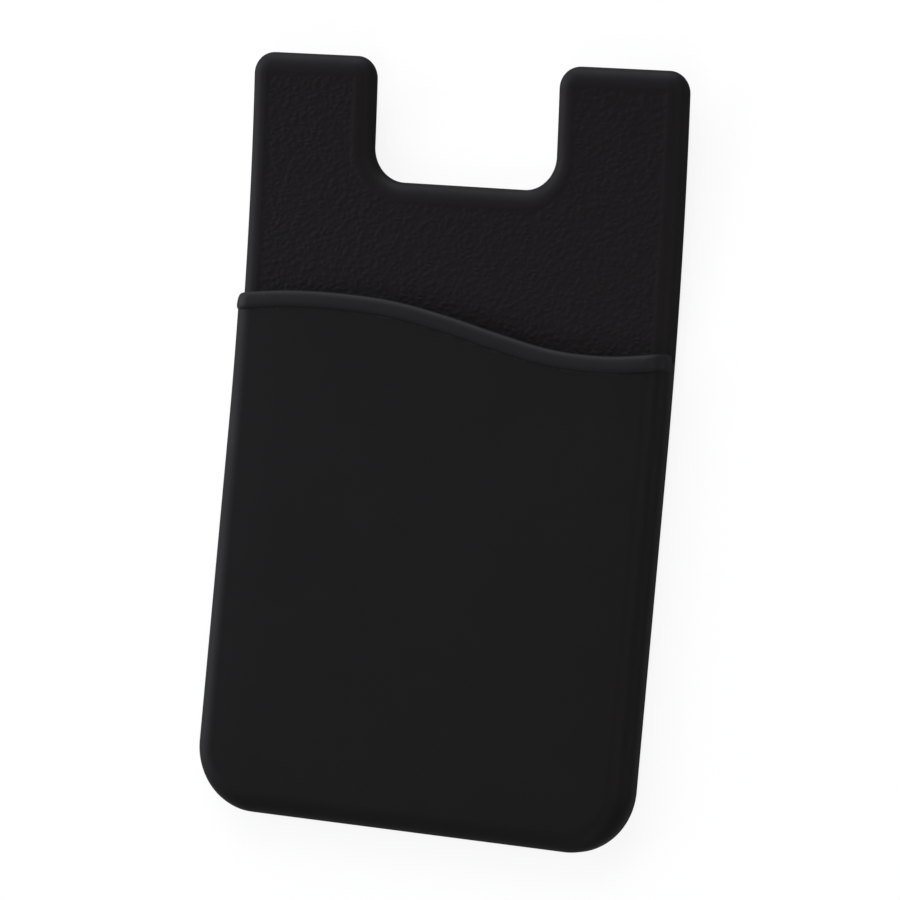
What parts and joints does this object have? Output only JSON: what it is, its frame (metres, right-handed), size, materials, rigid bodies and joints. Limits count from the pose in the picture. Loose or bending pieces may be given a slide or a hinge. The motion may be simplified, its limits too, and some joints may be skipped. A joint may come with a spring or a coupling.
{
  "type": "stick on phone card holder",
  "caption": "Slim moulded silicone card pocket with a wavy rolled rim and a U-shaped finger notch, with an adhesive pad on its back to fix it to a phone.",
  "frame": {"origin": "on the resting face, under the middle of the outline", "axes": "+X across the width, +Y towards the two lugs, +Z out of the front of the pocket"},
  "size_m": [0.0572, 0.0918, 0.0051],
  "materials": {
    "silicone": "near-black moulded silicone, matt, with a fine leather grain on the flap",
    "adhesive": "translucent off-white foam adhesive",
    "liner_paper": "smooth siliconed release paper"
  },
  "bodies": {
    "root": {"pocket_body": "silicone", "adhesive_sheet": "adhesive", "release_liner": "liner_paper"}
  },
  "joints": []
}
